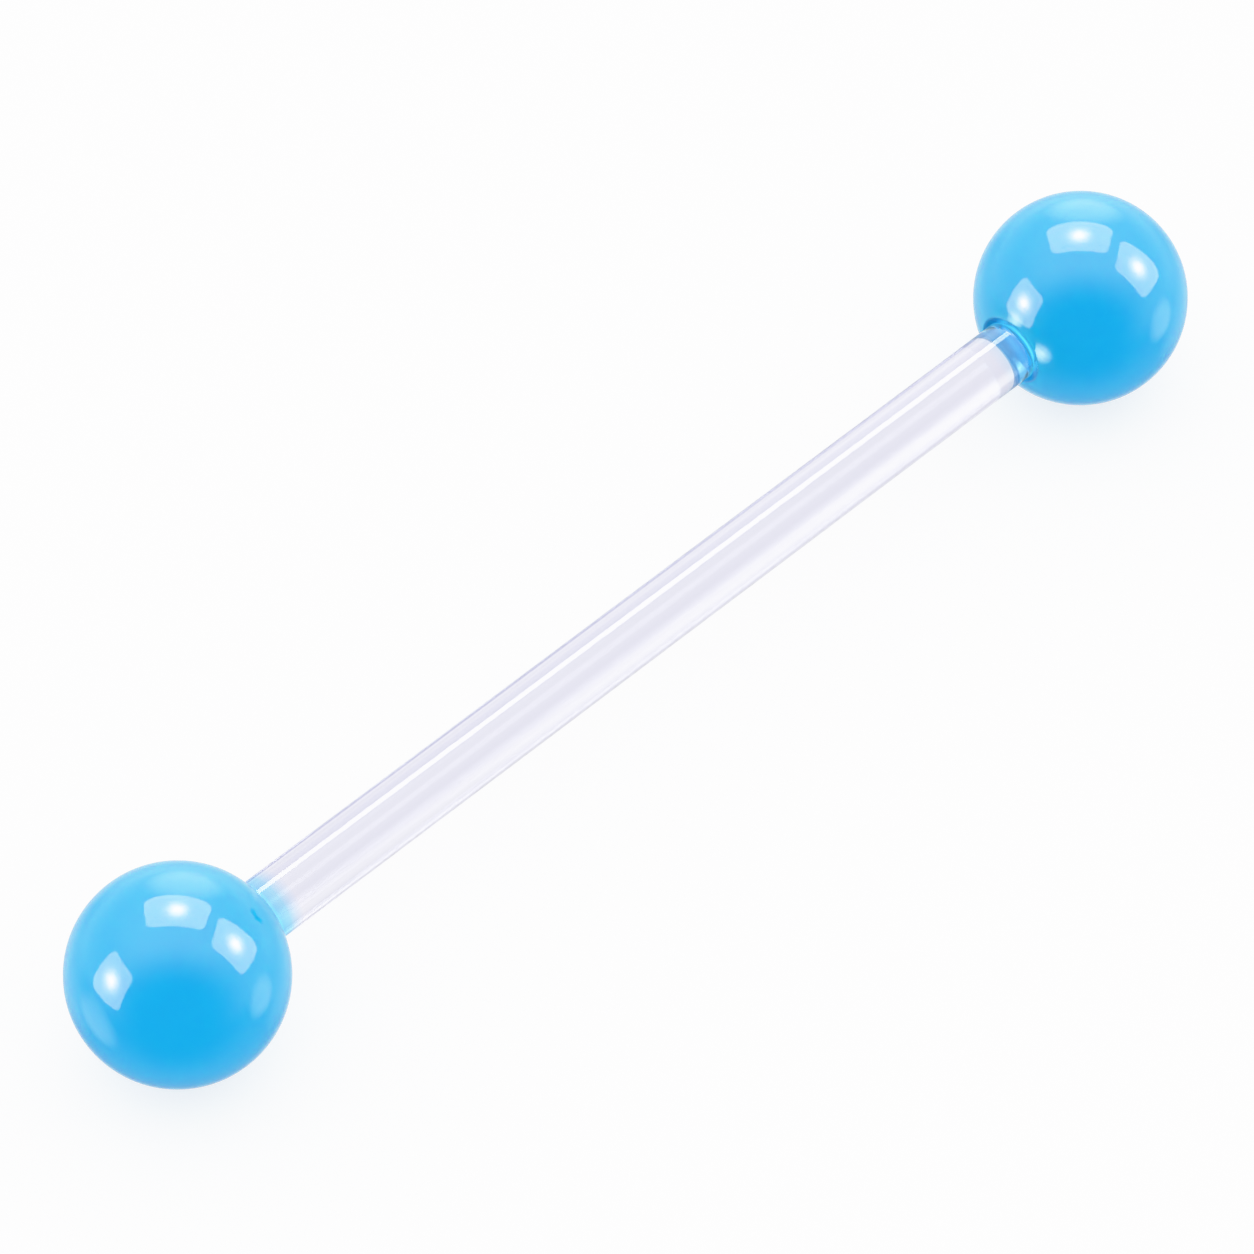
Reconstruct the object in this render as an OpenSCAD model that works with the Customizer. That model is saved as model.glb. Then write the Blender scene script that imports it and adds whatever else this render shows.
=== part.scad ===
// Straight barbell retainer for a piercing: a clear plastic bar with a blue ball on each end.
// Lengths are in millimetres. The bar lies along X, and both balls rest on the plane z = 0.

/* [Bar] */
// Length of bar that shows between the mouths of the two balls
bar_length = 19; // [6:1:38]
// Diameter of the bar: 1.2 is 16 gauge
bar_d = 1.2; // [1:0.1:1.6]
// Depth of the screw thread on the bar's ends: 0.155 is that of a 1.2 mm thread with a 0.25 mm pitch
thread_depth = 0.155; // [0.1:0.005:0.18]
// Length of each screwed end, which is drawn as a plain post at the root of the thread
post_length = 2.2; // [1.4:0.1:2.4]
// Chamfer on the tip of each post
tip_chamfer = 0.12; // [0.04:0.02:0.2]

/* [Balls] */
// Diameter of each ball
ball_d = 4; // [3.5:0.5:6]
// How much wider than the bar the hole's countersunk mouth is, on the radius
mouth_flare = 0.1; // [0.06:0.02:0.2]
// Radial clearance of the post in its hole
hole_clearance = 0.02; // [0.01:0.01:0.05]
// Depth of hole left past the tip of the post
hole_end_gap = 0.2; // [0.1:0.05:0.4]

/* [Hidden] */
$fn = 96;

bar_r = bar_d / 2;
post_r = bar_r - thread_depth;
hole_r = post_r + hole_clearance;
mouth_r = bar_r + mouth_flare;
ball_r = ball_d / 2;
// From the centre of a ball to the flat circle that is the rim of its mouth
rim_offset = sqrt(ball_r * ball_r - mouth_r * mouth_r);
// From the middle of the bar to the centre of a ball
ball_x = bar_length / 2 + rim_offset;
// How far the mouth's cone runs on outside the rim, to clear the cap of the ball
mouth_overrun = 2 * (ball_r - rim_offset);

// Half of the bar's outline, as [radius, distance from the middle], from the middle to one tip.
// The full diameter ends level with the rim of the ball's mouth and narrows at 45 degrees to the post.
half_outline = [
    [bar_r, bar_length / 2],
    [post_r, bar_length / 2 + thread_depth],
    [post_r, bar_length / 2 + post_length - tip_chamfer],
    [post_r - tip_chamfer, bar_length / 2 + post_length],
    [0, bar_length / 2 + post_length],
];

// The same points at the other end, in reverse order, so that the two lists make one closed outline
far_outline = [
    for (i = [len(half_outline) - 1 : -1 : 0])
        [half_outline[i][0], -half_outline[i][1]]
];

// Lays a shape made round the Z axis along X, at the height of the balls' centres
module along_x() {
    translate([0, 0, ball_r])
        rotate([0, 90, 0])
            children();
}

// The hole in a ball, round the Z axis, with its rim at z = 0 and its blind end below
module ball_hole() {
    hole_depth = post_length + hole_end_gap;
    cone_depth = mouth_r - hole_r;
    translate([0, 0, -hole_depth])
        cylinder(r = hole_r, h = hole_depth);
    translate([0, 0, -cone_depth])
        cylinder(r1 = hole_r, r2 = mouth_r + mouth_overrun, h = cone_depth + mouth_overrun);
}

// A ball centred on the origin, with the mouth of its hole facing +Z
module drilled_ball() {
    difference() {
        sphere(r = ball_r);
        translate([0, 0, rim_offset])
            ball_hole();
    }
}

// Clear bar, full diameter between the balls, with a post on each end
module bar() {
    color([0.90, 0.90, 0.96, 0.6])
        along_x()
            rotate_extrude()
                polygon(concat(half_outline, far_outline));
}

// Blue ball on the -X end, its mouth facing +X
module ball_left() {
    color([0.22, 0.72, 0.96])
        along_x()
            translate([0, 0, -ball_x])
                drilled_ball();
}

// Blue ball on the +X end, its mouth facing -X
module ball_right() {
    color([0.22, 0.72, 0.96])
        along_x()
            translate([0, 0, ball_x])
                mirror([0, 0, 1])
                    drilled_ball();
}

bar();
ball_left();
ball_right();
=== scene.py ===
# Straight barbell retainer: a clear plastic bar with a blue screw-on ball at each end.
# Metres throughout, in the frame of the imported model: the bar lies along X, and the balls rest on z = 0.

import math

import bpy
import numpy as np
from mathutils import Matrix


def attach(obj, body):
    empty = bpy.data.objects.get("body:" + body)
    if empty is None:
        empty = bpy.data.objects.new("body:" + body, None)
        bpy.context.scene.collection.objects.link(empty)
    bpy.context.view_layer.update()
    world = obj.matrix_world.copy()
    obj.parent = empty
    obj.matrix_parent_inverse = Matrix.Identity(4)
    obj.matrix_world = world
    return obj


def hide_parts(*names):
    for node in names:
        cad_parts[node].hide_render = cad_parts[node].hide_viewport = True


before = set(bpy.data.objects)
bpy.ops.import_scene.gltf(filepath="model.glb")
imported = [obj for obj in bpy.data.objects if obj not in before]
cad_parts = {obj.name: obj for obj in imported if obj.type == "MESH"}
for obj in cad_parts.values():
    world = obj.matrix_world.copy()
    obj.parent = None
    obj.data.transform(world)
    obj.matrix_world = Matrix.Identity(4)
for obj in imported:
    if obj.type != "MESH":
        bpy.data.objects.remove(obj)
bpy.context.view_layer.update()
mm = 0.001
print("frame loaded:", sorted(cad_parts))

# Sizes that the pieces share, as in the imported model
size = {
    "ballRadius": 2.0 * mm,
    "barRadius": 0.6 * mm,
    "barHalfLength": 9.5 * mm,     # half of the bar that shows, so it ends level with the balls' mouths
    "postLength": 2.2 * mm,        # screwed end of the bar, inside the ball
    "postRadius": 0.445 * mm,      # at the root of the thread
    "tipChamfer": 0.12 * mm,
    "mouthRadius": 0.7 * mm,       # rim of the countersunk mouth of the ball's hole
    "holeClearance": 0.02 * mm,    # between the post and the hole, on the radius
    "holeEndGap": 0.2 * mm,
}
rimOffset = math.sqrt(size["ballRadius"] ** 2 - size["mouthRadius"] ** 2)
ballCentre = size["barHalfLength"] + rimOffset
axisHeight = size["ballRadius"]


# Camera

camera = {
    "azimuth": 224.39,         # where it stands, in degrees from +Y towards +X
    "elevation": 49.91,        # above the floor
    "distance": 154.7 * mm,
    "fieldOfView": 8.347,      # across the picture
    "aimRight": -0.305 * mm,   # how far the aim is off the middle of the bar
    "aimUp": -0.031 * mm,
    "nearest": 1 * mm,
    "farthest": 20.0,
}


def towards(azimuth, elevation):
    # unit vector: the azimuth turns from +Y towards +X, the elevation rises from the floor
    a, e = math.radians(azimuth), math.radians(elevation)
    return np.array([math.sin(a) * math.cos(e), math.cos(a) * math.cos(e), math.sin(e)])


def facing(back, roll=0.0):
    # right and up of a thing whose back is that way: right is level, then both turn by roll about the back
    right = np.cross([0.0, 0.0, 1.0], back)
    right = right / np.linalg.norm(right)
    up = np.cross(back, right)
    c, s = math.cos(math.radians(roll)), math.sin(math.radians(roll))
    return right * c + up * s, up * c - right * s


def place(thing, position, right, up, back):
    # its own X, Y and Z lie along right, up and back
    for row in range(3):
        for column, axis in enumerate((right, up, back)):
            thing.matrix_world[row][column] = axis[row]
        thing.matrix_world[row][3] = position[row]


def makeCamera():
    back = towards(camera["azimuth"], camera["elevation"])
    right, up = facing(back)
    aim = np.array([0.0, 0.0, axisHeight]) + right * camera["aimRight"] + up * camera["aimUp"]
    data = bpy.data.cameras.new("camera")
    data.sensor_fit = "HORIZONTAL"
    data.angle = math.radians(camera["fieldOfView"])
    data.clip_start = camera["nearest"]
    data.clip_end = camera["farthest"]
    thing = bpy.data.objects.new("camera", data)
    bpy.context.scene.collection.objects.link(thing)
    place(thing, aim + back * camera["distance"], right, up, back)
    bpy.context.scene.camera = thing


# Nodes, for the lamps, the world and the materials

def feed(tree, value, socket):
    # an output socket is linked, and a number, a vector or a colour is set
    if hasattr(value, "is_linked"):
        tree.links.new(value, socket)
    else:
        socket.default_value = value


def mathNode(tree, operation, *terms, clamp=False):
    node = tree.nodes.new("ShaderNodeMath")
    node.operation = operation
    node.use_clamp = clamp
    for term, socket in zip(terms, node.inputs):
        feed(tree, term, socket)
    return node.outputs["Value"]


def vectorNode(tree, operation, *terms):
    node = tree.nodes.new("ShaderNodeVectorMath")
    node.operation = operation
    for term, socket in zip(terms, node.inputs):
        feed(tree, term, socket)
    if operation in ("LENGTH", "DOT_PRODUCT"):
        return node.outputs["Value"]
    return node.outputs["Vector"]


def rangeNode(tree, value, start, end, atStart, atEnd, kind="SMOOTHSTEP"):
    # atStart up to start and atEnd from end on, and between them smooth, or straight where kind is LINEAR
    node = tree.nodes.new("ShaderNodeMapRange")
    node.interpolation_type = kind
    feed(tree, value, node.inputs["Value"])
    feed(tree, start, node.inputs["From Min"])
    feed(tree, end, node.inputs["From Max"])
    feed(tree, atStart, node.inputs["To Min"])
    feed(tree, atEnd, node.inputs["To Max"])
    return node.outputs["Result"]


def mixNode(tree, share, whenNone, whenAll, kind="FLOAT"):
    # kind is FLOAT for numbers and RGBA for colours
    node = tree.nodes.new("ShaderNodeMix")
    node.data_type = kind
    feed(tree, share, node.inputs["Factor"])
    feed(tree, whenNone, node.inputs["A"])
    feed(tree, whenAll, node.inputs["B"])
    return node.outputs["Result"]


def stopsNode(tree, value, stops):
    # a colour for each value; the stops are (value, colour), from the lowest value to the highest
    node = tree.nodes.new("ShaderNodeValToRGB")
    elements = node.color_ramp.elements
    elements[0].position, elements[0].color = stops[0]
    elements[1].position, elements[1].color = stops[-1]
    for position, colour in stops[1:-1]:
        elements.new(position).color = colour
    feed(tree, value, node.inputs["Fac"])
    return node.outputs["Color"]


def noiseNode(tree, coordinates, scale, detail, twist=0.0):
    node = tree.nodes.new("ShaderNodeTexNoise")
    feed(tree, coordinates, node.inputs["Vector"])
    node.inputs["Scale"].default_value = scale
    node.inputs["Detail"].default_value = detail
    node.inputs["Distortion"].default_value = twist
    return node.outputs["Fac"]


def axisNodes(tree, coordinates):
    # the X, Y and Z of the coordinates, by name
    node = tree.nodes.new("ShaderNodeSeparateXYZ")
    feed(tree, coordinates, node.inputs[0])
    return node.outputs


# Lamps

# Softboxes round the balls. The brightness is that of the rim of the cloth, and the lamp behind it adds the
# glow in the middle, which is narrower the sharper it is. Width and height are shares of the distance.
softboxLight = {"brightness": 5.7, "glow": 33.0, "sharpness": 3.2}
softboxes = {
    "softbox_top": {"azimuth": 43, "elevation": 60.5, "roll": -4, "width": 1.02, "height": 0.68,
                    **softboxLight},
    "softbox_right": {"azimuth": 125.4, "elevation": 32.2, "roll": -19, "width": 0.68, "height": 0.80,
                      **softboxLight},
    "softbox_left": {"azimuth": 295.2, "elevation": 14.8, "roll": 4.5, "width": 0.65, "height": 0.71,
                     **softboxLight},
}
softboxDistance = 0.35
softboxColour = (1.0, 0.76, 0.86)
clothCorners = (1.1, 1.5)    # u^4 + v^4 where the cloth begins to darken, and where it is dark
glowRadius = 0.34            # of the lamp behind the cloth, as a share of the distance

# Strip lights for the bar alone, whose mirror image is the crisp white line along it, one for each end
stripLight = {"roll": 0, "height": 0.21, "brightness": 9.0, "glow": 2.0, "sharpness": 1.0}
stripLights = {
    "strip_light_right": {"azimuth": 45.5, "elevation": 51.0, "width": 0.50, **stripLight},
    "strip_light_left": {"azimuth": -48, "elevation": 49.0, "width": 0.80, **stripLight},
}

# Small cards beside the right ball's mouth, which only that ball mirrors, as it mirrors the bar's bright
# lines. Each stands off its start, a point on the ball's surface; start and distance are in mm.
cardLight = {"roll": 0, "brightness": 0.2, "sharpness": 1.0}
mouthCards = {
    "mouth_card_side": {"azimuth": 263.9, "elevation": -23.9, "width": 0.75, "height": 0.85, "glow": 14.0,
                        "start": (9.547, -0.691, 2.436), "distance": 1.9, **cardLight},
    "mouth_card_top": {"azimuth": 295.0, "elevation": -7.0, "width": 0.6, "height": 0.6, "glow": 12.0,
                       "start": (9.545, -0.036, 2.809), "distance": 1.2, **cardLight},
}

# Slatted panel whose light the clear bar carries inside: its slats show as the soft lines along the bar.
# They are stops of (height up the panel, share of the brightness).
slattedPanel = {
    "azimuth": 135.9, "elevation": 49.3, "roll": -37.3, "width": 0.30, "height": 0.56,
    "brightness": 9.0,
    "slats": [(0.10, 0.0), (0.15, 0.15), (0.21, 0.15), (0.28, 0.0), (0.37, 0.0), (0.42, 0.55), (0.50, 0.55),
              (0.55, 0.0), (0.72, 0.0), (0.82, 0.6), (0.88, 1.0), (0.94, 0.5)],
}


def makeLamp(name, box, strengthFrom, start=(0, 0, 0), distance=softboxDistance):
    # an area lamp at that distance from the start, along its direction, and facing back; strengthFrom
    # builds its strength from the place on the lamp, whose X and Y run from 0 to 1
    outward = towards(box["azimuth"], box["elevation"])
    right, up = facing(outward, box["roll"])
    data = bpy.data.lights.new(name, "AREA")
    data.shape = "RECTANGLE"
    data.size = box["width"] * distance
    data.size_y = box["height"] * distance
    data.energy = math.pi * data.size * data.size_y    # radiance 1, which the nodes multiply
    data.use_nodes = True
    tree = data.node_tree
    tree.nodes.clear()
    placeOnLamp = tree.nodes.new("ShaderNodeNewGeometry").outputs["Parametric"]
    emission = tree.nodes.new("ShaderNodeEmission")
    feed(tree, strengthFrom(tree, placeOnLamp, box), emission.inputs["Strength"])
    output = tree.nodes.new("ShaderNodeOutputLight")
    feed(tree, emission.outputs["Emission"], output.inputs["Surface"])
    lamp = bpy.data.objects.new(name, data)
    bpy.context.scene.collection.objects.link(lamp)
    place(lamp, np.array(start) + outward * distance, right, up, outward)
    lamp.visible_camera = False
    lamp.visible_diffuse = False
    return lamp


def roundedCloth(tree, placeOnLamp, strength):
    # fades to dark where u^4 + v^4 grows past 1, with u and v from -1 to 1 across the cloth, so that its
    # corners are round
    across = vectorNode(tree, "MULTIPLY_ADD", placeOnLamp, (2, 2, 0), (-1, -1, 0))
    squared = vectorNode(tree, "MULTIPLY", across, across)
    fourth = vectorNode(tree, "DOT_PRODUCT", squared, squared)
    return rangeNode(tree, fourth, *clothCorners, strength, 0.0)


def glowStrength(tree, placeOnLamp, box):
    # the rim's brightness, and the glow times (1 - distance from the middle / its radius) ^ sharpness
    corner = (-box["width"] / 2, -box["height"] / 2, 0.0)
    fromMiddle = vectorNode(tree, "MULTIPLY_ADD", placeOnLamp, (box["width"], box["height"], 0.0), corner)
    distance = vectorNode(tree, "LENGTH", fromMiddle)
    falloff = rangeNode(tree, distance, 0.0, glowRadius, 1.0, 0.0, "LINEAR")
    sharpened = mathNode(tree, "POWER", falloff, box["sharpness"])
    strength = mathNode(tree, "MULTIPLY_ADD", sharpened, box["glow"], box["brightness"])
    return roundedCloth(tree, placeOnLamp, strength)


def slatStrength(tree, placeOnLamp, box):
    stops = [(height, (share, share, share, 1)) for height, share in box["slats"]]
    slats = stopsNode(tree, axisNodes(tree, placeOnLamp)["Y"], stops)
    return mathNode(tree, "MULTIPLY", slats, box["brightness"])


def makeLamps():
    # a list of lamps for the balls, for the bar and for the right ball's mouth, in that order
    ballLamps = [makeLamp(name, box, glowStrength) for name, box in softboxes.items()]
    for lamp in ballLamps:
        lamp.data.color = softboxColour
    barLamps = [makeLamp(name, box, glowStrength) for name, box in stripLights.items()]
    mouthLamps = [makeLamp(name, box, glowStrength, np.array(box["start"]) * mm, box["distance"] * mm)
                  for name, box in mouthCards.items()]
    for lamp in ballLamps + barLamps + mouthLamps:
        lamp.visible_transmission = False
    panel = makeLamp("slatted_panel", slattedPanel, slatStrength)
    panel.visible_glossy = False
    return ballLamps, barLamps, mouthLamps


# White tent round the bar, open on the camera's side. The gloss mirrors its walls, its top and the table
# under it, with the opening and the patches, and the fill is the even light that it throws on everything.
# An edge is where one part passes into the next: the sine of the elevation, or for the opening the cosine
# of the angle from it. The inner and outer radius of a round spot are in degrees.
studio = {
    "backdrop": 1.45,       # what the camera sees past the floor
    "walls": 1.5,
    "top": 2.6,
    "topEdge": (0.3, 1.0),
    "table": 0.5,
    "tableEdge": (-0.35, 0.0),
    "opening": {"azimuth": 223, "elevation": 8, "inner": 30, "outer": 80, "brightness": 0.0},
    "patches": [            # brighter places on the walls
        {"azimuth": 48, "elevation": 22, "inner": 5, "outer": 27, "brightness": 2.4},
        {"azimuth": 139, "elevation": -17, "inner": 4, "outer": 18, "brightness": 2.2},
        {"azimuth": 300, "elevation": -29, "inner": 4, "outer": 22, "brightness": 1.5},
        {"azimuth": 107, "elevation": -28, "inner": 6, "outer": 30, "brightness": 0.6},
        {"azimuth": 341, "elevation": -28, "inner": 6, "outer": 30, "brightness": 0.6},
        {"azimuth": 44, "elevation": -35, "inner": 15, "outer": 45, "brightness": 0.5},
    ],
    "fill": 1.76,
    "fillFromOpening": 1.32,
    "openingEdge": (0.05, 0.62),
    "fillAtHorizon": 0.28,  # more of it from low down, all round
    "horizonEdge": (0.1, 0.55),
    "refracted": 1.33,      # what the clear bar bends into view
    "cards": [              # cards that only the clear bar shows: dark lines and a bright one along it;
                            # each has a twin on the other side, with the azimuth turned round
        {"azimuth": 0, "elevation": -90, "inner": 8, "outer": 24, "colour": (0.6, 0.6, 0.78, 1)},
        {"azimuth": 150, "elevation": -31, "inner": 17, "outer": 26, "colour": (0.38, 0.40, 0.64, 1)},
        {"azimuth": 95, "elevation": -63, "inner": 3, "outer": 9, "colour": (0.87, 0.87, 0.93, 1)},
        {"azimuth": 30, "elevation": -23, "inner": 4, "outer": 13, "colour": (1.2, 1.2, 1.15, 1)},
    ],
}


def makeWorld():
    world = bpy.data.worlds.new("studio")
    bpy.context.scene.world = world
    world.use_nodes = True
    tree = world.node_tree
    tree.nodes.clear()
    direction = tree.nodes.new("ShaderNodeTexCoord").outputs["Generated"]

    def along(axis):
        # cosine of the angle between the direction and the axis
        return vectorNode(tree, "DOT_PRODUCT", direction, axis)

    def spot(box, outside, inside):
        # a round spot in its direction, with a soft edge from the inner to the outer radius
        cosines = [math.cos(math.radians(box[radius])) for radius in ("outer", "inner")]
        return rangeNode(tree, along(towards(box["azimuth"], box["elevation"])), *cosines, outside, inside)

    height = along((0, 0, 1))
    mirrored = rangeNode(tree, height, *studio["topEdge"], studio["walls"], studio["top"])
    mirrored = rangeNode(tree, height, *studio["tableEdge"], studio["table"], mirrored)
    mirrored = spot(studio["opening"], mirrored, studio["opening"]["brightness"])
    for patch in studio["patches"]:
        mirrored = mathNode(tree, "ADD", mirrored, spot(patch, 0.0, patch["brightness"]))
    fill = rangeNode(tree, along(towards(camera["azimuth"], 0)), *studio["openingEdge"],
                     studio["fill"], studio["fillFromOpening"])
    nearHorizon = rangeNode(tree, height, *studio["horizonEdge"], studio["fillAtHorizon"], 0.0)
    fill = mathNode(tree, "ADD", fill, nearHorizon)
    ray = tree.nodes.new("ShaderNodeLightPath").outputs
    # a ray bent by clear plastic counts as glossy too, so it is taken out
    gloss = mathNode(tree, "SUBTRACT", ray["Is Glossy Ray"], ray["Is Transmission Ray"], clamp=True)
    strength = mixNode(tree, gloss, fill, mirrored)
    strength = mixNode(tree, ray["Is Transmission Ray"], strength, studio["refracted"])
    strength = mixNode(tree, ray["Is Camera Ray"], strength, studio["backdrop"])
    colour = (1, 1, 1, 1)
    twins = [dict(card, azimuth=-card["azimuth"]) for card in studio["cards"] if card["azimuth"] != 0]
    for card in studio["cards"] + twins:
        onCard = mathNode(tree, "MULTIPLY", spot(card, 0.0, 1.0), ray["Is Transmission Ray"])
        colour = mixNode(tree, onCard, colour, card["colour"], "RGBA")
    background = tree.nodes.new("ShaderNodeBackground")
    feed(tree, colour, background.inputs["Color"])
    feed(tree, strength, background.inputs["Strength"])
    output = tree.nodes.new("ShaderNodeOutputWorld")
    feed(tree, background.outputs["Background"], output.inputs["Surface"])


# Tone curve of the picture: straight up to middle tones, with a soft shoulder below white
toneWhite = 2.0
toneCurve = [(0.2, 0.4), (0.3, 0.595), (0.4, 0.765), (0.5, 0.885), (0.6, 0.955), (0.75, 0.99)]


def setTone():
    view = bpy.context.scene.view_settings
    view.view_transform = "Standard"
    view.look = "None"
    view.use_curve_mapping = True
    view.curve_mapping.white_level = (toneWhite, toneWhite, toneWhite)
    view.curve_mapping.extend = "HORIZONTAL"
    points = view.curve_mapping.curves[3].points    # the curve of all three colours together
    for x, y in toneCurve:
        points.new(x, y)
    view.curve_mapping.update()


# The floor is a light table: a white sheet that glows evenly, so the shadows on it are faint
lightTable = {
    "halfWidth": 2.0,
    "colour": (0.46, 0.46, 0.463, 1),
    "glow": 0.66,
    "roughness": 0.9,
    "specular": 0.1,
}


def makeFloor():
    half = lightTable["halfWidth"]
    data = bpy.data.meshes.new("floor")
    corners = [(-half, -half, 0), (half, -half, 0), (half, half, 0), (-half, half, 0)]
    data.from_pydata(corners, [], [(0, 1, 2, 3)])
    material = bpy.data.materials.new("floor")
    material.use_nodes = True
    shader = material.node_tree.nodes["Principled BSDF"]
    shader.inputs["Base Color"].default_value = lightTable["colour"]
    shader.inputs["Emission Color"].default_value = (1, 1, 1, 1)
    shader.inputs["Emission Strength"].default_value = lightTable["glow"]
    shader.inputs["Roughness"].default_value = lightTable["roughness"]
    shader.inputs["Specular IOR Level"].default_value = lightTable["specular"]
    data.materials.append(material)
    floor = bpy.data.objects.new("floor", data)
    bpy.context.scene.collection.objects.link(floor)
    floor.visible_glossy = False
    floor.visible_transmission = False


makeCamera()
ballLamps, barLamps, mouthLamps = makeLamps()
makeWorld()
setTone()
makeFloor()
print("camera, lights and floor made")


# Shapes

roundingSteps = 6     # points along the curve of each rounded corner
thread = {
    "crest": 0.59 * mm,       # radius; the root is the post itself
    "pitch": 0.25 * mm,
    "crestWidth": 0.12,       # its flat top, as a share of the pitch
    "flankWidth": 0.33,       # and the slope on each side of it
    "start": 0.3 * mm,        # past the mouth, from where it grows to its full height in one pitch
    "runOut": 0.6,            # pitches over which it dies away before the tip's chamfer
    "rowsPerPitch": 12,
}


def roundedProfile(corners, fillets):
    # A polyline of (x, radius) whose corners are rounded: each corner becomes a quadratic curve that starts
    # and ends one fillet along its two edges, with a point half a fillet outside each end to keep the
    # shading crisp.
    corners = np.asarray(corners, float)
    points = [corners[:1]]
    t = np.linspace(0.0, 1.0, roundingSteps)[:, None]
    for i in range(1, len(corners) - 1):
        before, corner, after = corners[i - 1], corners[i], corners[i + 1]
        inward = (before - corner) / np.linalg.norm(before - corner)
        outward = (after - corner) / np.linalg.norm(after - corner)
        start, end = corner + inward * fillets[i], corner + outward * fillets[i]
        curve = (1 - t) ** 2 * start + 2 * t * (1 - t) * corner + t ** 2 * end
        points += [[start + inward * fillets[i] * 0.5], curve, [end + outward * fillets[i] * 0.5]]
    points.append(corners[-1:])
    return np.concatenate(points)


def fillRows(profile, step):
    # more points along the straight stretches, evenly spaced and no further apart than step
    rows = [profile[:1]]
    for a, b in zip(profile[:-1], profile[1:]):
        count = max(1, int(math.ceil(np.linalg.norm(b - a) / step)))
        rows.append(a + (b - a) * (np.arange(1, count + 1) / count)[:, None])
    return np.concatenate(rows)


def threadHeight(x, t):
    # Height of the screw thread, 0 at its root and 1 at its crest: a trapezoid wave along x, one pitch
    # long, that turns with the angle t, so its crest is a helix. It dies away at both ends of the post.
    pitch = thread["pitch"]
    start = size["barHalfLength"] + thread["start"]
    end = size["barHalfLength"] + size["postLength"] - size["tipChamfer"]
    crest, flank = thread["crestWidth"] * pitch, thread["flankWidth"] * pitch
    phase = np.mod(x / pitch - t / (2 * math.pi), 1.0)
    wave = np.clip((crest / 2 + flank - np.abs(phase - 0.5) * pitch) / flank, 0.0, 1.0)
    grown = np.clip((np.abs(x) - start) / pitch, 0, 1)
    left = np.clip((end - np.abs(x)) / (thread["runOut"] * pitch), 0, 1)
    return wave * (grown * left)


def turnedMesh(name, profile, segments, threaded):
    # A surface of revolution round the bar's axis: the point (x, r) of the profile at the angle t stands at
    # (x, r cos t, axis height + r sin t). Where threaded is 1, r grows by the height of the thread.
    # The first and last points of the profile lie on the axis and become one point each.
    x, r = profile[1:-1, 0][:, None], profile[1:-1, 1][:, None]
    t = np.linspace(0.0, 2 * math.pi, segments, endpoint=False)[None, :]
    depth = thread["crest"] - size["postRadius"]
    r = np.repeat(r, segments, 1) + threaded[1:-1][:, None] * depth * threadHeight(x, t)
    ring = np.stack([np.repeat(x, segments, 1), r * np.cos(t), axisHeight + r * np.sin(t)], -1)
    poles = np.array([[profile[0, 0], 0, axisHeight], [profile[-1, 0], 0, axisHeight]])
    points = np.concatenate([ring.reshape(-1, 3), poles])
    rows = len(x)
    i, j = np.meshgrid(np.arange(rows - 1), np.arange(segments), indexing="ij")
    nextJ = (j + 1) % segments
    quads = np.stack([i * segments + j, i * segments + nextJ,
                      (i + 1) * segments + nextJ, (i + 1) * segments + j], -1).reshape(-1, 4)
    j = np.arange(segments)
    nextJ = (j + 1) % segments
    firstPole, lastPole = rows * segments, rows * segments + 1
    lastRow = (rows - 1) * segments
    firstCap = np.stack([np.full(segments, firstPole), nextJ, j], -1)
    lastCap = np.stack([np.full(segments, lastPole), lastRow + j, lastRow + nextJ], -1)
    data = bpy.data.meshes.new(name)
    data.from_pydata(points.tolist(), [], quads.tolist() + firstCap.tolist() + lastCap.tolist())
    data.polygons.foreach_set("use_smooth", np.ones(len(data.polygons), bool))
    data.update()
    return data


# Finishes and pieces

noiseSpread = (0.35, 0.7)    # nearly all of a noise lies between these


def addWear(tree, shader, marks, roughness, depth):
    # the marks make the surface rougher, from least to most, and stand out in a bump of that depth
    feed(tree, rangeNode(tree, marks, *noiseSpread, *roughness, "LINEAR"), shader.inputs["Roughness"])
    relief = tree.nodes.new("ShaderNodeBump")
    relief.inputs["Strength"].default_value = 1.0
    relief.inputs["Distance"].default_value = depth
    feed(tree, marks, relief.inputs["Height"])
    feed(tree, relief.outputs["Normal"], shader.inputs["Normal"])


def addPiece(name, data, body, node, material):
    piece = bpy.data.objects.new(name, data)
    bpy.context.scene.collection.objects.link(piece)
    data.materials.append(material)
    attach(piece, body)
    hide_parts(node)
    return piece


def lightOnly(piece, lamps):
    # these lamps light this piece, and others that are named for them, and nothing else
    for lamp in lamps:
        if lamp.light_linking.receiver_collection is None:
            lamp.light_linking.receiver_collection = bpy.data.collections.new("lit by " + lamp.name)
        lamp.light_linking.receiver_collection.objects.link(piece)


# The clear bar

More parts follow.
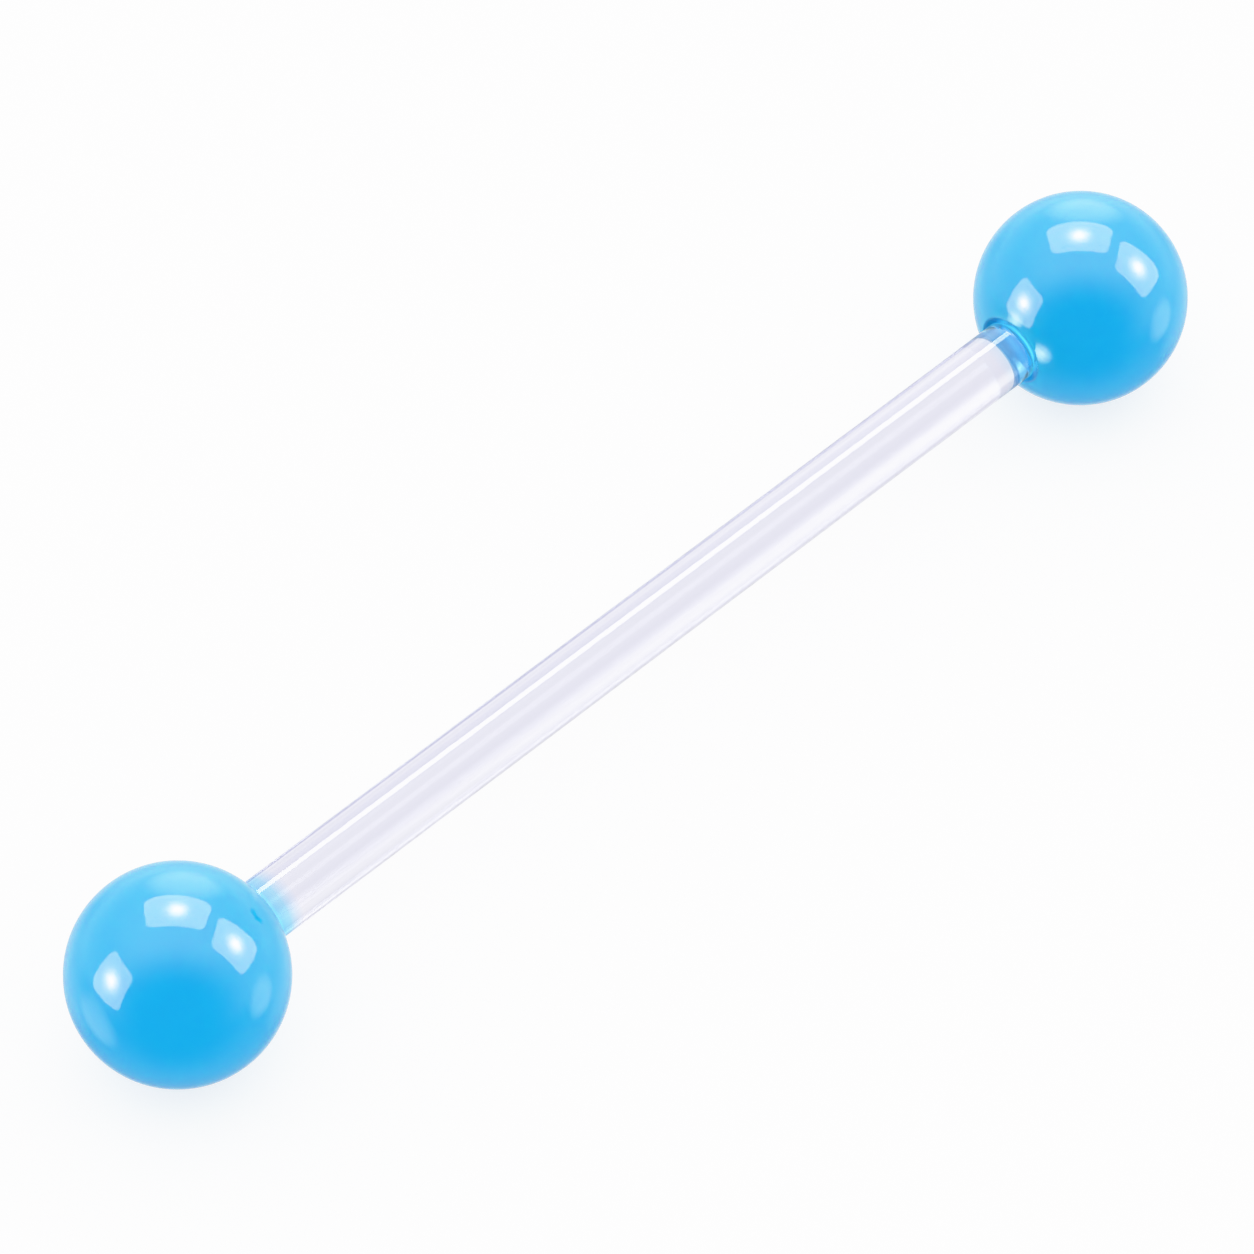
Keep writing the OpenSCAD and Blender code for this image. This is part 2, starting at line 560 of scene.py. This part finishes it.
clearTint = (0.666, 0.663, 0.764, 1)    # of the plastic away from its ends
clearBar = {
    "fillet": 0.02 * mm,
    "segments": 128,
    "rowStep": 0.25 * mm,           # between rows of faces along it
    "postRowsFrom": 0.2 * mm,       # past the mouth, from where the rows are fine enough for the thread
    # painted blue light: the blue of the balls that the clear ends pick up, painted into the plastic's
    # colour, longer on the left end; stops of (distance past the mouth in mm, colour)
    "paintedBlueLight": {
        "left": [(-0.58, clearTint), (-0.28, (0.12, 0.48, 0.93, 1)), (0.0, (0.06, 0.45, 0.95, 1)),
                 (0.32, (0.06, 0.45, 0.95, 1)), (0.50, clearTint)],
        "right": [(-0.34, clearTint), (-0.12, (0.46, 0.63, 0.82, 1)), (0.0, (0.06, 0.54, 0.85, 1)),
                  (0.32, (0.06, 0.54, 0.85, 1)), (0.50, clearTint)],
    },
    # and a painted glow for the light that they carry: faint all along the bar and stronger near the
    # mouths, at both ends alike
    "paintedGlows": [(-0.12, (0.012, 0.012, 0.014, 1)), (-0.02, (0.03, 0.24, 0.34, 1)),
              (0.16, (0.03, 0.24, 0.34, 1)), (0.30, (0.02, 0.10, 0.13, 1)),
              (0.50, (0.012, 0.012, 0.014, 1))],
    "absorption": (0.565, 0.56, 0.71, 1),
    "absorptionDensity": 250.0,     # per metre
    "refraction": 1.49,
    "roughness": (0.01, 0.045),     # least and most, along the drawing lines
    "drawingLines": 9000,           # per metre round the bar
    "lineStretch": 60,              # how many times longer than wide they are
    "lineDetail": 3.0,
    "lineDepth": 0.0006 * mm,
}


def barProfile():
    # outline of the bar from its -X tip to its +X tip: post, 45 degree shoulder, full diameter, and again
    # shoulder and post
    half, tip = size["barHalfLength"], size["barHalfLength"] + size["postLength"]
    post, chamfer = size["postRadius"], size["tipChamfer"]
    shoulder = size["barRadius"] - post
    right = [(half, size["barRadius"]), (half + shoulder, post), (tip - chamfer, post),
             (tip, post - chamfer), (tip, 0.0)]
    left = [(-x, r) for x, r in reversed(right)]
    return roundedProfile(left + right, [clearBar["fillet"]] * len(left + right))


def plasticMaterial():
    material = bpy.data.materials.new("clear plastic")
    material.use_nodes = True
    tree = material.node_tree
    shader = tree.nodes["Principled BSDF"]
    shader.inputs["Transmission Weight"].default_value = 1.0
    shader.inputs["IOR"].default_value = clearBar["refraction"]
    # strength of the painted glow, whose colour the bands below set
    shader.inputs["Emission Strength"].default_value = 1.0
    coordinates = tree.nodes.new("ShaderNodeTexCoord").outputs["Object"]
    # faint lines from drawing the bar: noise that is stretched along X
    stretched = vectorNode(tree, "MULTIPLY", coordinates, (1 / clearBar["lineStretch"], 1, 1))
    lines = noiseNode(tree, stretched, clearBar["drawingLines"], clearBar["lineDetail"])
    addWear(tree, shader, lines, clearBar["roughness"], clearBar["lineDepth"])
    # painted blue and painted glow in bands near both ends, by a measure that is 0 at 1 mm before the mouth
    # and 1 at 1 mm past it
    x = axisNodes(tree, coordinates)["X"]
    nearest, furthest = size["barHalfLength"] - 1 * mm, size["barHalfLength"] + 1 * mm
    pastMouth = rangeNode(tree, mathNode(tree, "ABSOLUTE", x), nearest, furthest, 0.0, 1.0, "LINEAR")

    def paintedBands(stops):
        return stopsNode(tree, pastMouth, [((distance + 1) / 2, colour) for distance, colour in stops])

    # painted blue light on the plastic's colour, with its own stops on each end
    onRight = mathNode(tree, "GREATER_THAN", x, 0.0)
    left, right = paintedBands(clearBar["paintedBlueLight"]["left"]), paintedBands(clearBar["paintedBlueLight"]["right"])
    feed(tree, mixNode(tree, onRight, left, right, "RGBA"), shader.inputs["Base Color"])
    # painted glow near both ends
    feed(tree, paintedBands(clearBar["paintedGlows"]), shader.inputs["Emission Color"])
    absorption = tree.nodes.new("ShaderNodeVolumeAbsorption")
    absorption.inputs["Color"].default_value = clearBar["absorption"]
    absorption.inputs["Density"].default_value = clearBar["absorptionDensity"]
    feed(tree, absorption.outputs["Volume"], tree.nodes["Material Output"].inputs["Volume"])
    return material


def makeBar():
    # fine rows of faces on the posts, for the thread, and coarser ones between them
    outline = barProfile()
    postStart = size["barHalfLength"] + clearBar["postRowsFrom"]
    coarse = fillRows(outline, clearBar["rowStep"])
    fine = fillRows(outline, thread["pitch"] / thread["rowsPerPitch"])
    leftPost, rightPost = fine[fine[:, 0] < -postStart], fine[fine[:, 0] > postStart]
    profile = np.concatenate([leftPost, coarse[np.abs(coarse[:, 0]) <= postStart], rightPost])
    threaded = (np.abs(profile[:, 0]) > postStart).astype(float)
    data = turnedMesh("clear_bar", profile, clearBar["segments"], threaded)
    piece = addPiece("clear_bar", data, "bar", "bar", plasticMaterial())
    piece.visible_shadow = False    # lamps shine through the clear plastic
    return piece


lightOnly(makeBar(), barLamps)
print("bar made")


# The blue balls

blueBall = {
    "segments": 160,
    "outlinePoints": 110,           # round the outside, from the far pole to the rim of the mouth
    "rimFillet": 0.03 * mm,
    "colour": (0.0058, 0.300, 0.575, 1),
    "paleColour": (0.0075, 0.325, 0.61, 1),    # in faint clouds, as the dye never mixes quite evenly
    "clouds": 700,                  # per metre
    "cloudDetail": 2.0,
    "roughness": (0.035, 0.085),    # least and most, over the polish
    "polishMarks": 5200,            # per metre
    "polishDetail": 4.0,
    "polishTwist": 0.6,
    "polishDepth": 0.0005 * mm,
    "translucency": 1.0,
    "scatterDepth": 3.0 * mm,
    "scatterColour": (0.3, 0.7, 1.0),
    # painted glow: an emission on the walls of the hole stands in for light that soaks through the acrylic
    "paintedHoleGlow": 0.3,
    "paintedHoleGlowColour": (0.14, 0.74, 1.0, 1),
    "paintedHoleGlowEdge": (0.46 * mm, 0.60 * mm),      # radius over which it fades out, on the countersink
    # painted shade: the sharp rim of the mouth gets a darker blue and no scattering, for the dark ring
    # where the ball meets the bar
    "paintedRimShade": (0.005, 0.25, 0.51, 1),
    "rimWidth": 0.08 * mm,
    "rimInset": 0.6,                # in widths, how far inside the mouth's radius its middle lies
    "rimEdge": (0.4, 1.2),          # in widths, over which its colour fades on each side of its middle
    # what belongs to the hole stops between these distances past its blind end
    "holeEdge": (0.2 * mm, 0.3 * mm),
}


def ballProfile(side):
    # outline of a ball from its far pole round to the rim of the mouth, down the countersink, along the
    # hole and to the middle of its blind end, and which of its rows are threaded; side is +1 for the ball
    # on the +X end
    radius, rim = size["ballRadius"], size["mouthRadius"]
    hole = size["postRadius"] + size["holeClearance"]
    depth = size["postLength"] + size["holeEndGap"]
    rimAngle = math.asin(rim / radius)
    angle = np.linspace(0.0, math.pi - rimAngle, blueBall["outlinePoints"])
    outside = np.stack([ballCentre + radius * np.cos(angle), radius * np.sin(angle)], -1)
    mouth = size["barHalfLength"]
    inside = [(mouth + rim - hole, hole), (mouth + depth, hole), (mouth + depth, 0.0)]
    fillet = blueBall["rimFillet"]
    hollow = roundedProfile(np.concatenate([outside[-2:], inside]), [0, fillet, fillet, fillet, 0])
    profile = np.concatenate([outside[:-2], hollow])
    # the rows of the hole come after those of the rounded rim, and have about its radius
    pastRim = np.arange(len(profile)) > len(outside) + roundingSteps + 2
    inHole = pastRim & (profile[:, 1] > 0.9 * hole)
    walls = fillRows(profile[inHole], thread["pitch"] / thread["rowsPerPitch"])
    first, last = np.argmax(inHole), len(profile) - np.argmax(inHole[::-1])
    threaded = np.concatenate([np.zeros(first), np.ones(len(walls)), np.zeros(len(profile) - last)])
    profile = np.concatenate([profile[:first], walls, profile[last:]])
    profile[:, 0] *= side
    if side > 0:
        return profile[::-1], threaded[::-1]
    return profile, threaded


def acrylicMaterial():
    material = bpy.data.materials.new("blue acrylic")
    material.use_nodes = True
    tree = material.node_tree
    shader = tree.nodes["Principled BSDF"]
    shader.inputs["Subsurface Radius"].default_value = blueBall["scatterColour"]
    shader.inputs["Subsurface Scale"].default_value = blueBall["scatterDepth"]
    shader.inputs["Emission Color"].default_value = blueBall["paintedHoleGlowColour"]
    coordinates = tree.nodes.new("ShaderNodeTexCoord").outputs["Object"]
    polish = noiseNode(tree, coordinates, blueBall["polishMarks"], blueBall["polishDetail"],
                       blueBall["polishTwist"])
    addWear(tree, shader, polish, blueBall["roughness"], blueBall["polishDepth"])
    # the painted glow and the painted rim shade go by the distance from the bar's axis, and only in the
    # half of the ball with the hole
    acrossAxis = vectorNode(tree, "MULTIPLY_ADD", coordinates, (0, 1, 1), (0, 0, -axisHeight))
    offAxis = vectorNode(tree, "LENGTH", acrossAxis)
    fromMiddle = mathNode(tree, "ABSOLUTE", axisNodes(tree, coordinates)["X"])
    holeEnd = size["barHalfLength"] + size["postLength"] + size["holeEndGap"]
    start, end = [holeEnd + past for past in blueBall["holeEdge"]]

    def besideHole(value):
        # the value up to the blind end of the hole, and 0 past it
        return rangeNode(tree, fromMiddle, start, end, value, 0.0, "LINEAR")

    # painted glow on the walls of the hole, fading out on the countersink
    paintedHoleGlowStrength = rangeNode(tree, offAxis, *blueBall["paintedHoleGlowEdge"], besideHole(blueBall["paintedHoleGlow"]), 0.0)
    feed(tree, paintedHoleGlowStrength, shader.inputs["Emission Strength"])
    # painted shade: a darker ring on the rim of the mouth
    rimMiddle = size["mouthRadius"] - blueBall["rimInset"] * blueBall["rimWidth"]
    fromRim = mathNode(tree, "ABSOLUTE", mathNode(tree, "SUBTRACT", offAxis, rimMiddle))
    rimEdge = [widths * blueBall["rimWidth"] for widths in blueBall["rimEdge"]]
    rim = rangeNode(tree, fromRim, *rimEdge, besideHole(1.0), 0.0)
    clouds = noiseNode(tree, coordinates, blueBall["clouds"], blueBall["cloudDetail"])
    dye = mixNode(tree, clouds, blueBall["colour"], blueBall["paleColour"], "RGBA")
    feed(tree, mixNode(tree, rim, dye, blueBall["paintedRimShade"], "RGBA"), shader.inputs["Base Color"])
    # no scattering where the painted rim shade lies
    translucent = rangeNode(tree, rim, 0.0, 1.0, blueBall["translucency"], 0.0, "LINEAR")
    feed(tree, translucent, shader.inputs["Subsurface Weight"])
    return material


def makeBall(name, side, body, material):
    profile, threaded = ballProfile(side)
    data = turnedMesh(name, profile, blueBall["segments"], threaded)
    return addPiece(name, data, body, body, material)


acrylic = acrylicMaterial()
lightOnly(makeBall("left_ball", -1, "ball_left", acrylic), ballLamps)
lightOnly(makeBall("right_ball", 1, "ball_right", acrylic), ballLamps + mouthLamps)
print("balls made")
